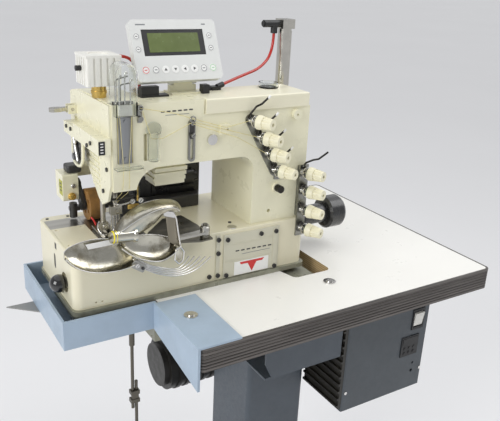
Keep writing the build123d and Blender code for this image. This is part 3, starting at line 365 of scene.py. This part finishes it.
clear = make_clear("clear_plastic")
lcd = make_lcd()
folder_steel = make_folder_steel()
tinted = make_clear("tinted_guard", (0.80, 0.84, 0.86), 0.05)
# Darker, browner copy of the folder steel for the folder strip: painted shade on the strip.
strip_painted_shade = brushed("strip_steel_painted_shade", (0.30, 0.27, 0.21), (1, 1, 0.1), (0.2, 0.4)).mat
aged_edge = plastic("aged_edge", (0.42, 0.37, 0.19), 0.45, 0.2).mat
label_green = plastic("label_green", (0.40, 0.40, 0.06), 0.5, 0.12).mat
finishes = {
    "stand_feet": stand_blue, "stand_column": stand_blue, "treadle": stand_blue,
    "levelling_pads": pad_rubber, "tabletop": make_laminate(), "edge_band": make_band(),
    "head_tray": make_tray(), "bright_bolts": bright, "oil_pan": make_casting(),
    "control_box": box_blue, "control_trim": make_trim(), "puller_drive": make_drive(),
    "power_switch": plug_white, "servo_motor": black_alu, "motor_pulley": steel_x,
    # The bed casting and bed covers take the darker cream: painted shade on the lower bed.
    "drive_belt": rubber, "handwheel": make_wheel(), "bed_casting": cream_bed_painted_shade,
    "bed_covers": cream_bed_painted_shade, "needle_plate": steel_x, "name_panel": enamel(
        "panel_paint", (0.63, 0.61, 0.49), (0.35, 0.5), 0.05).mat,
    "dark_screws": dark_oxide, "ball_knob": black_gloss, "arm_casting": cream,
    "top_cover": cover_cream, "face_cover": cream, "lift_lever": polished,
    "release_lever": bright, "take_up_plate": plate_z, "clear_guards": clear,
    "thread_guides": guide_steel, "tension_plates": make_tension(), "tension_posts": bright,
    "threads": cotton, "display_stem": cream, "display_housing": housing_grey,
    "display_screen": black_matt, "display_keys": label_white, "rear_cylinder": polished,
    "air_fittings": black_matt, "lift_cylinder": white_paint, "lift_coupler": brass,
    "presser_bar": steel_z, "needle_bar": steel_z, "puller_bracket": cream,
    "puller_arm": dark_oxide, "puller_roller": make_roller(), "folder_base": brushed(
        "oiled_plate", (0.20, 0.19, 0.155), (0.3, 1, 1), (0.25, 0.5), 0.2).mat,
    "folder": folder_steel, "pull_rod": rod_steel,
    "hose_long": red_hose, "hose_short": red_hose,
}
for number in range(1, 9):
    finishes["tension_knob_%d" % number] = knob_cream
for name, obj in nodes.items():
    obj.data.materials.clear()
    obj.data.materials.append(finishes[name])


# ---------------------------------------------------------------- mesh kit
def add(name, verts, faces, mat, body, bevel=0.0, smooth=False):
    mesh = bpy.data.meshes.new(name)
    mesh.from_pydata([Vector(v) * MM for v in verts], [], faces)
    mesh.validate()
    obj = bpy.data.objects.new(name, mesh)
    scene.collection.objects.link(obj)
    work = bmesh.new()
    work.from_mesh(mesh)
    bmesh.ops.recalc_face_normals(work, faces=work.faces)
    work.to_mesh(mesh)
    work.free()
    mesh.materials.append(mat)
    for face in mesh.polygons:
        face.use_smooth = smooth
    if bevel:
        edge = obj.modifiers.new("bevel", "BEVEL")
        edge.width = bevel * MM
        edge.segments = 2
        edge.limit_method = "ANGLE"
    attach(obj, body)
    return obj


def plate(name, outline, origin, u, v, thick, mat, body, bevel=0.0, slot=None):
    """An outline in the (u, v) plane at origin, in mm, extruded along u x v."""
    u, v, origin = Vector(u), Vector(v), Vector(origin)
    n = u.cross(v)
    low = [origin + u * a + v * b for a, b in outline]
    high = [p + n * thick for p in low]
    k = len(low)
    faces = [tuple(range(k))[::-1], tuple(range(k, 2 * k))]
    faces += [(i, (i + 1) % k, k + (i + 1) % k, k + i) for i in range(k)]
    return add(name, low + high, faces, mat, body, bevel)


def rounded(w, h, r, steps=5, cx=0.0, cy=0.0):
    """Outline of a rounded rectangle about (cx, cy)."""
    points = []
    for sx, sy, start in ((1, 1, 0), (-1, 1, 90), (-1, -1, 180), (1, -1, 270)):
        for k in range(steps + 1):
            a = radians(start + 90 * k / steps)
            points.append((cx + sx * (w / 2 - r) + r * cos(a), cy + sy * (h / 2 - r) + r * sin(a)))
    return points


def torus(name, centre, axis, big, small, mat, body, flat=1.0):
    axis = Vector(axis).normalized()
    side = axis.orthogonal().normalized()
    other = axis.cross(side)
    verts, faces = [], []
    n, m = 40, 12
    for i in range(n):
        out = side * cos(2 * pi * i / n) + other * sin(2 * pi * i / n)
        for j in range(m):
            a = 2 * pi * j / m
            verts.append(Vector(centre) + out * (big + small * cos(a)) + axis * small * flat * sin(a))
            faces.append((i * m + j, (i + 1) % n * m + j, (i + 1) % n * m + (j + 1) % m, i * m + (j + 1) % m))
    return add(name, verts, faces, mat, body, smooth=True)


def wire(name, points, radius, mat, body, order=3):
    """Round bar along a smooth line through the control points, in mm."""
    data = bpy.data.curves.new(name, "CURVE")
    data.dimensions = "3D"
    data.bevel_depth = radius * MM
    data.bevel_resolution = 5
    data.use_fill_caps = True
    data.resolution_u = 10
    line = data.splines.new("NURBS")
    line.points.add(len(points) - 1)
    for point, place in zip(line.points, points):
        point.co = (*(Vector(place) * MM), 1.0)
    line.order_u = order
    line.use_endpoint_u = True
    data.materials.append(mat)
    obj = bpy.data.objects.new(name, data)
    scene.collection.objects.link(obj)
    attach(obj, body)
    return obj


def turned(name, base, axis, profile, mat, body, sides=32):
    """A lathe shape: profile is (distance along the axis, radius) pairs, in mm."""
    axis = Vector(axis).normalized()
    side = axis.orthogonal().normalized()
    other = axis.cross(side)
    verts = []
    for t, r in profile:
        for k in range(sides):
            a = 2 * pi * k / sides
            verts.append(Vector(base) + axis * t + side * r * cos(a) + other * r * sin(a))
    last = (len(profile) - 1) * sides
    faces = [tuple(range(sides))[::-1], tuple(range(last, last + sides))]
    for i in range(len(profile) - 1):
        low, high = i * sides, (i + 1) * sides
        for k in range(sides):
            after = (k + 1) % sides
            faces.append((low + k, low + after, high + after, high + k))
    return add(name, verts, faces, mat, body, 0.25)


def loft(name, rows, thick, mat, body, slot=None):
    """A smooth sheet through rows of points, the same number in each, in mm."""
    k = len(rows[0])
    verts = [point for row in rows for point in row]
    faces = [(r * k + c, r * k + c + 1, (r + 1) * k + c + 1, (r + 1) * k + c)
             for r in range(len(rows) - 1) for c in range(k - 1)]
    obj = add(name, verts, faces, mat, body, smooth=True)
    soft = obj.modifiers.new("soft", "SUBSURF")
    soft.levels = soft.render_levels = 3
    shell = obj.modifiers.new("sheet", "SOLIDIFY")
    shell.thickness = thick * MM
    shell.offset = 0.0
    return obj


def screw(name, place, axis, radius, mat, body, slot=None):
    """Cheese-head screw with a thin dark plate across its head for the slot: painted shade in the slot."""
    h = radius * 0.75
    turned(name, place, axis, ((0, radius), (h * 0.8, radius), (h, radius * 0.82)), mat, body)
    axis = Vector(axis).normalized()
    u = axis.orthogonal().normalized()
    # The slot is a flat dark plate on the head: painted shade in the slot.
    plate(name + "_slot", rounded(radius * 1.5, radius * 0.26, 0.1), Vector(place) + axis * (h - 0.05), u,
          axis.cross(u), 0.1, ink_and_slot_painted_shade, body, slot=slot)


# ---------------------------------------------------------------- air hoses
hose_1 = [(68, 4, 1186), (68, 4, 1154), (37, -9, 1129), (-8, -19, 1119), (-48, -26, 1108)]
hose_2 = [(-233, -14, 1158), (-214, -14, 1158), (-198, -13, 1146), (-191, -13, 1127), (-191, -13, 1106)]
HOSE_RADIUS = 2.5


def make_hose(name, points, node):
    obj = wire(name, points, HOSE_RADIUS, red_hose, "machine")
    plain = bpy.data.objects.new("measure", obj.data.copy())
    plain.data.bevel_depth = 0.0
    scene.collection.objects.link(plain)
    mesh = bpy.data.meshes.new_from_object(plain)
    bpy.data.objects.remove(plain)
    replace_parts(obj, node)
    return obj


make_hose("air_hose_long", hose_1, "hose_long")
make_hose("air_hose_short", hose_2, "hose_short")

# ---------------------------------------------------------------- display face
TILT = radians(24)
face_origin = Vector((-138, -58, 1124))
face_u = Vector((1, 0, 0))
face_v = Vector((0, sin(TILT), cos(TILT)))
face_n = face_u.cross(face_v)


def on_face(x, y, lift=0.0):
    return face_origin + face_u * x + face_v * y + face_n * lift


plate("lcd_glass", rounded(86, 30, 1), on_face(-3, 60, -0.8), face_u, face_v, 0.35, lcd, "display",
      0.1, "display_screen")
grey_ink = plastic("key_grey", (0.22, 0.23, 0.24), 0.5).mat
green_ink = plastic("key_green", (0.35, 0.62, 0.36), 0.5).mat
key_rings = [(0, red_paint), (1, grey_ink), (6, grey_ink), (7, green_ink)]
for k, paint in key_rings:
    torus("key_ring_%d" % k, on_face(-58 + 16.4 * k, 18, 0.75), face_n, 4.9, 0.45, paint, "display",
          0.5)
for k, (x, y) in enumerate(((-64.5, 70), (-64.5, 50), (59, 70), (59, 50))):
    torus("side_key_ring_%d" % k, on_face(x, y, 0.75), face_n, 3.9, 0.4, grey_ink, "display",
          0.5)
    plate("side_key_mark_%d" % k, rounded(3.4, 1.1, 0.4), on_face(x, y, 0.7), face_u, face_v, 0.2,
          ink_and_slot_painted_shade, "display", slot="display_keys")
arrow = [(0, 2.6), (-2.5, -1.7), (2.5, -1.7)]
for k, turn in ((2, 0), (3, 180), (4, 90), (5, -90)):
    a = radians(turn)
    shape = [(x * cos(a) - y * sin(a), x * sin(a) + y * cos(a)) for x, y in arrow]
    plate("key_arrow_%d" % k, shape, on_face(-58 + 16.4 * k, 18, 0.7), face_u, face_v, 0.2, ink_and_slot_painted_shade,
          "display", slot="display_keys")
for k in (0, 1, 6, 7):
    paint = dict(key_rings)[k]
    plate("key_mark_%d" % k, rounded(4.6, 1.3, 0.5), on_face(-58 + 16.4 * k, 18, 0.7), face_u, face_v,
          0.2, paint, "display", slot="display_keys")
for k, (x, w) in enumerate(((-55, 16), (52, 7))):
    plate("display_mark_%d" % k, rounded(w, 2.0, 0.8), on_face(x, 88), face_u, face_v, 0.15, grey_ink,
          "display", slot="display_keys")

# ---------------------------------------------------------------- name panel
plate("panel_label", rounded(70, 25.4, 0.6), (-22.5, -102.55, 803), X, Z, 0.25, label_white, "machine",
      slot="name_panel")
triangle = [(-24, 10.5), (26, 10.5), (22, 6.2), (10, 6.2), (1, -10.5), (-8, 6.2), (-22, 6.2)]
plate("panel_triangle", triangle, (-22.5, -102.8, 803), X, Z, 0.2, red_paint, "machine",
      slot="name_panel")
for k in range(7):
    plate("panel_stitch_%d" % k, rounded(7.5, 2.4, 1.1), (-52 + 11 * k, -102.0, 836 - 0.2 * k), X, Z, 0.25,
          ink_and_slot_painted_shade, "machine", slot="name_panel")
plate("panel_underline", rounded(58, 0.9, 0.4), (-14, -102.0, 828.5), X, Z, 0.2, grey_ink, "machine",
      slot="name_panel")
for k in range(6):
    plate("arm_stitch_%d" % k, rounded(6.5, 2.2, 1.0), (-187 + 9.4 * k, -92.0, 1085 + 0.1 * k), X, Z, 0.25,
          ink_and_slot_painted_shade, "machine", slot="arm_casting")
plate("arm_underline", rounded(40, 0.9, 0.4), (-163, -92.0, 1079.5), X, Z, 0.2, grey_ink, "machine",
      slot="arm_casting")

# ---------------------------------------------------------------- tension felts
LEAN = radians(22)
FELT_OUT = 13.3
lean = Vector((sin(LEAN), -cos(LEAN), 0))
upper = ((-25, 1060), (-8, 1031), (9, 1002), (26, 970.5))
lower = ((79, 962.5), (82, 928.5), (83, 892.5), (84, 857))
posts = [Vector((x - 6.9, -95, z)) for x, z in upper] + [Vector((x - 6, -103, z)) for x, z in lower]
for k, base in enumerate(posts):
    torus("felt_ring_%d" % (k + 1), base + lean * FELT_OUT, lean, 7.6, 1.3, felt_green, "machine",
          0.8)
for k, (x, z) in enumerate(upper):
    tip = [(x + 13, -111, z + 38), (x + 14.6, -111.6, z + 40.4), (x + 16.4, -112.2, z + 43)]
    wire("guide_tip_%d" % (k + 1), tip, 1.95, label_white, "machine")

# ---------------------------------------------------------------- polished tape folder
FOLD = dict(mat=folder_steel, body="folder", slot="folder")
scoop = (
    ((-357, -140, 898), (-351, -146, 886), (-325, -146.7, 871), (-297, -146.7, 866.5), (-272, -146.5, 866),
     (-252, -146, 871)),
    ((-357, -133, 892), (-349, -134, 880), (-324, -133, 866), (-297, -132, 862), (-272, -131, 864),
     (-252, -131, 872)),
    ((-356, -126, 894), (-349, -122, 893), (-322, -119, 893), (-297, -118, 892), (-270, -118, 890),
     (-253, -118, 886)),
    ((-355, -123, 900), (-350, -119, 905), (-322, -116, 911), (-297, -116, 909), (-271, -116, 903),
     (-256, -116, 896)),
)
curl = (
    ((-278, -112, 914), (-268, -111, 931), (-246, -110, 948), (-217, -109, 954), (-189, -109, 954),
     (-171, -110, 948), (-165, -112, 936)),
    ((-279, -124, 917), (-266, -124, 933), (-242, -124, 948), (-215, -124, 954), (-190, -124, 954),
     (-175, -124, 948), (-168, -122, 937)),
    ((-276, -136, 921), (-260, -138, 932), (-238, -139, 944), (-212, -139, 951), (-192, -138, 950),
     (-181, -134, 944), (-176, -130, 937)),
    ((-270, -136, 908), (-252, -133, 912), (-232, -129, 915), (-214, -126, 924), (-203, -126, 936),
     (-196, -126, 939), (-190, -126, 936)),
)
bowl = (
    ((-277, -146, 902), (-262, -146.5, 885), (-232, -146.5, 870), (-207, -146.5, 865), (-186, -146, 881)),
    ((-275, -134, 893), (-257, -133, 876), (-232, -132, 862), (-205, -132, 858), (-180, -133, 873)),
    ((-270, -121, 894), (-250, -120, 886), (-232, -119, 880), (-204, -118, 878), (-177, -119, 877)),
    ((-268, -117, 901), (-246, -115, 904), (-232, -115, 904), (-202, -115, 899), (-174, -117, 884)),
)
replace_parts(loft("folder_scoop", scoop, 1.0, **FOLD), "folder")
loft("folder_curl", curl, 1.0, **FOLD)
loft("folder_bowl", bowl, 1.0, **FOLD)
for name, line in (("scoop_lip", scoop[0]), ("scoop_back", scoop[-1]), ("curl_back", curl[0]),
                   ("curl_lip", curl[2]), ("bowl_lip", bowl[0]), ("bowl_back", bowl[-1])):
    wire("folder_" + name, line, 0.7, bright, "folder", 4)
sleeve = Vector((-288, -130, 914))
along = Vector((1, 0, -0.06)).normalized()
turned("folder_sleeve", sleeve, along, ((0, 8.4), (6, 9.4), (34, 9.4), (36, 11.0), (40, 11.0), (40, 8.6),
                                        (24, 8.0), (24, 1.0)), folder_steel, "folder")
for k, t in enumerate((3.5, 8.0)):
    torus("folder_yellow_mark_%d" % k, sleeve + along * t, along, 8.6, 0.9, yellow_paint, "folder",
          1.4)
plate("folder_label", ((-323, 906), (-282, 907), (-281, 898.5), (-319, 897.5)), (0, -121.5, 0),
      X, Z, 0.3, label_white, "folder", slot="folder")
# The folder strip carries the darker steel: painted shade on the strip.
plate("folder_strip", ((-199, 933), (-182, 930), (-175, 877), (-193, 889)), (0, -127, 0),
      X, Z, 1.2, strip_painted_shade, "folder", 0.2, "folder")
wire("folder_strip_edge", ((-190, -129, 939), (-182, -129, 934), (-179, -130, 905), (-174, -131, 876)), 1.5,
     bright, "folder", 3)
plate("folder_tab", ((-206, 944), (-186, 938), (-184, 928), (-202, 934)), (0, -129, 0), X, Z,
      1.4, bright, "folder", 0.3, "folder")
wire("folder_hex", ((-185, -137, 878), (-177, -137, 881), (-171, -137, 872), (-173, -137, 857),
                    (-180, -137, 853), (-187, -137, 861), (-185, -137, 878)),
     1.5, bright, "folder", 2)
plate("folder_hex_web", ((-184, 875), (-178, 878), (-174, 870), (-176, 859), (-182, 858)), (0, -135, 0),
      X, Z, 1.0, folder_steel, "folder", slot="folder")
outer_wire = ((-257, -139, 878), (-250, -140, 864), (-226, -141, 849), (-198, -140, 836), (-168, -136, 829.5),
              (-140, -130, 833), (-116, -124, 847))
inner_wire = ((-244, -139, 872), (-236, -140, 864), (-216, -141, 856), (-196, -140, 848), (-180, -136, 843),
              (-167, -130, 847), (-157, -126, 857))
for k in range(5):
    line = [Vector(p).lerp(Vector(q), k / 4) for p, q in zip(outer_wire, inner_wire)]
    wire("folder_finger_%d" % (k + 1), line, 1.15, bright, "folder", 4)
plate("folder_clamp", rounded(24, 13, 2.5), (-249, -141, 865), (0.82, 0, -0.57), (0.57, 0, 0.82), 2.2,
      steel_x, "folder", 0.4, "folder")
screw("folder_clamp_screw", (-252, -143.2, 867), FRONT, 3.4, bright, "folder", "folder")
screw("folder_clamp_screw_2", (-243, -143.2, 861), FRONT, 2.6, dark_oxide, "folder", "folder")
turned("folder_hub", (-122, -113, 884.5), Z, ((0, 6.5), (0, 8), (12, 8), (13.5, 6.5), (15.5, 6.5)),
       steel_x, "folder")
plate("folder_arm", ((-192, -126), (-122, -121), (-116, -113), (-124, -108), (-192, -117)), (0, 0, 886),
      X, Y, 5, steel_x, "folder", 0.6, "folder")

# ---------------------------------------------------------------- sewing head details
M = "machine"
plate("arch_block", rounded(20, 15, 1.5), (-248, -92.3, 1092.5), X, Z, 6.5, white_paint, M, 0.5,
      "top_cover")
for k, (x, top) in enumerate(((-256.5, 1146), (-248, 1150), (-239.5, 1140))):
    hook = ((x, -95, 1100), (x, -95, top - 12), (x + 2, -95, top), (x + 5, -93, top - 6))
    wire("arch_rod_%d" % k, hook, 1.1, bright, M, 3)
for k, x in enumerate((-259.1, -236.9)):
    plate("take_up_edge_%d" % k, rounded(1.7, 70, 0.4), (x, -94.02, 1047.5), X, Z, 0.3,
          aged_edge, M, slot="take_up_plate")
wire("take_up_thread_1", ((-257, -97.4, 1083), (-255, -97.6, 1045), (-252.5, -97.4, 1009), (-253, -95, 968),
                          (-252, -66, 950), (-251, -50, 936)), 0.4, cotton, M, 3)
wire("take_up_thread_2", ((-239, -97.4, 1083), (-240.5, -97.6, 1045), (-244, -97.4, 1009), (-242, -95, 968),
                          (-244, -66, 950), (-246, -50, 936)), 0.4, cotton, M, 3)
plate("rail_plate", rounded(9.5, 20, 0.6), (-284.6, -96.05, 1039.5), X, Z, 0.5, black_matt, M, 0.1,
      "face_cover")
for k in range(4):
    plate("rail_plate_mark_%d" % k, rounded(4.5, 1.5, 0.5), (-284.6, -96.55, 1046 - 4.3 * k), X, Z,
          0.1, label_white, M, slot="face_cover")
LEFT = dict(u=FRONT, v=(0, 0, 1))
# Black sheets on the bed's left face in the shape of a pocket and a slot: painted shade for the dark insides
# of the recesses.
plate("bed_pocket_painted_shade", rounded(9.6, 10.6, 0.8), (-336.3, -13, 863.5), thick=0.4, mat=black_matt, body=M,
      slot="bed_casting", **LEFT)
plate("bed_slot_painted_shade", rounded(8.6, 25.6, 4.2), (-336.3, -5, 834.5), thick=0.4, mat=black_matt, body=M,
      slot="bed_casting", **LEFT)
wire("link_loop", ((-283, 46, 1029), (-283, 47, 1006), (-283, 46, 986), (-283, 34, 980), (-283, 14, 981),
                   (-283, -2, 990), (-283, -5, 1010), (-283, -5, 1029)), 2.6, cream, M, 4)
plate("link_back", ((-44, 1027), (3, 1027), (1, 994), (-14, 984), (-36, 984), (-43, 992)), (-281, 0, 0),
      thick=1.0, mat=dark_oxide, body=M, bevel=0.3, slot="face_cover", **LEFT)
wire("link_bar", ((-285, 34, 1026), (-285, 24, 1008), (-285, 16, 990)), 3.0, bright, M, 3)
wire("link_bar_2", ((-285, 20, 1026), (-285, 30, 1010), (-286, 34, 998)), 2.2, steel_z, M, 3)
turned("link_knob", (-282, 34, 994), (-1, 0, 0), ((0, 4), (1.5, 7), (4.5, 7), (6, 5)), black_gloss, M)
plate("puller_label", rounded(17, 26, 0.8), (-302.02, 62, 934), thick=0.3, mat=label_green, body=M,
      slot="puller_bracket", **LEFT)
for k in range(3):
    plate("puller_label_mark_%d" % k, rounded(10, 2.2, 0.8), (-302.32, 62, 941 - 6 * k), thick=0.1, mat=ink_and_slot_painted_shade,
          body=M, slot="puller_bracket", **LEFT)
screw("puller_screw", (-285, 50, 938), FRONT, 4.2, bright, M, "puller_bracket")
turned("puller_brass", (-288, 50, 920), FRONT, ((0, 6.5), (2, 6.5), (3, 5), (7, 5), (7.5, 3.5)), brass, M)
plate("puller_cap", rounded(25, 26, 5), (-280, 66, 958.2), X, Y, 13, dark_oxide, M, 3.0,
      "puller_bracket")
plate("needle_guard", rounded(20, 24, 4), (-222, -62, 961), X, Z, 1.2, tinted, M, 0.3,
      "clear_guards")
wire("needle_guard_rod", ((-216, -60, 974), (-216, -60, 950), (-216, -60, 938)), 1.3, brass, M, 2)
plate("needle_back", ((-262, 957), (-206, 957), (-204, 930), (-216, 922), (-250, 916), (-262, 916)),
      (0, -14.5, 0), X, Z, 2.0, dark_oxide, M, 0.4, "arm_casting")
plate("needle_bracket", rounded(36, 17, 3), (-216, -48, 929), X, Z, 2.0, dark_oxide, M, 0.5,
      "arm_casting")
plate("needle_bracket_strip", rounded(19, 8, 1.5), (-220, -50, 926), X, Z, 1.2, brass, M, 0.3,
      "arm_casting")
wire("needle_bracket_post", ((-210, -46, 934), (-210, -45, 952), (-210, -45, 976)), 3.4, dark_oxide, M, 2)
for k, x in enumerate((-221, -207)):
    screw("needle_bracket_screw_%d" % k, (x, -50.2, 934.5), FRONT, 4.0, label_white, M, "arm_casting")
wire("needle_rail", ((-262, -60, 946), (-246, -60, 945), (-222, -60, 946)), 2.0, dark_oxide, M, 2)
for k, x in enumerate((-262, -222)):
    wire("needle_rail_post_%d" % k, ((x, -60, 945), (x, -58, 958), (x, -56, 972)), 2.0, dark_oxide, M, 2)
wire("needle_looper", ((-257, -60, 946), (-254, -61, 936), (-240, -61, 935), (-226, -60, 938)), 1.4,
     bright, M, 3)
wire("red_finger", ((-281, -26, 908), (-280, -29, 906), (-277, -31, 901), (-276, -31, 896)), 1.4,
     red_paint, M, 3)
wire("foot_edge", ((-271, 2, 881.3), (-271, -20, 881.3), (-271, -39, 881.3), (-266, -45.5, 881.3),
                   (-259, -40, 881.3), (-255, -18, 881.3), (-253, 2, 881.3)), 0.9, bright, "presser", 3)
wire("foot_spring", ((-257, -22, 897), (-253, -24, 894), (-251, -30, 889), (-252, -37, 884)), 1.0, bright,
     "presser", 3)
wire("foot_link", ((-268, -24, 897), (-272, -26, 892), (-272, -32, 886), (-269, -38, 882)), 1.2, bright,
     "presser", 3)
screw("foot_screw", (-262, -33, 892), FRONT, 3.4, bright, "presser", "presser_bar")
plate("rear_guard", ((-206, 36), (-190, 30), (-60, 30), (-48, 52), (-206, 56)), (0, 0, 876.3), X, Y,
      22, dark_oxide, M, 1.5, "puller_drive")
turned("arm_plug", (-101.2, -92.1, 1034.6), FRONT, ((0, 8.6), (0.8, 9), (1.2, 8.4), (0.9, 6.8), (0.9, 0.5)),
       bright, M)
plate("guide_face", rounded(8.5, 26, 2), (-139, -95.05, 1053), X, Z, 0.4, dark_oxide, M, 0.1,
      "thread_guides")
screw("guide_screw", (-139, -99.1, 1046), FRONT, 3.6, guide_steel, M, "thread_guides")


# ---------------------------------------------------------------- floor, light
def make_floor():
    s = Surface("studio_floor", (0.80, 0.80, 0.81), 0.7).mottled(0.6, 0.01)
    data = bpy.data.meshes.new("floor")
    half = 40.0
    corners = [(-half, -half, 0), (half, -half, 0), (half, half, 0), (-half, half, 0)]
    data.from_pydata(corners, [], [(0, 1, 2, 3)])
    data.materials.append(s.mat)
    obj = bpy.data.objects.new("floor", data)
    obj.location.z = cad_bounds[0][2] - 0.0005
    scene.collection.objects.link(obj)


def softbox(name, place, target, width, height, power, colour=(1, 1, 1)):
    data = bpy.data.lights.new(name, "AREA")
    data.shape = "RECTANGLE"
    data.size = width
    data.size_y = height
    data.energy = power
    data.color = colour
    obj = bpy.data.objects.new(name, data)
    obj.location = place
    aim = Vector(target) - Vector(place)
    obj.rotation_euler = aim.to_track_quat("-Z", "Y").to_euler()
    scene.collection.objects.link(obj)


make_floor()
softbox("key", (1.4, -0.7, 2.9), (0.0, -0.05, 0.85), 1.8, 1.8, 24)
softbox("left", (-3.0, -1.0, 2.1), (-0.2, 0.0, 0.95), 1.8, 1.8, 56)
sky = bpy.data.objects.new("overhead", bpy.data.lights.new("overhead", "SUN"))
sky.data.energy = 1.1
sky.data.angle = radians(110)
sky.rotation_euler = (radians(-14), radians(16), 0)
scene.collection.objects.link(sky)
world = bpy.data.worlds.new("studio")
world.use_nodes = True
world.node_tree.nodes["Background"].inputs["Color"].default_value = (0.80, 0.81, 0.83, 1)
world.node_tree.nodes["Background"].inputs["Strength"].default_value = 0.52
scene.world = world
scene.view_settings.view_transform = "Standard"
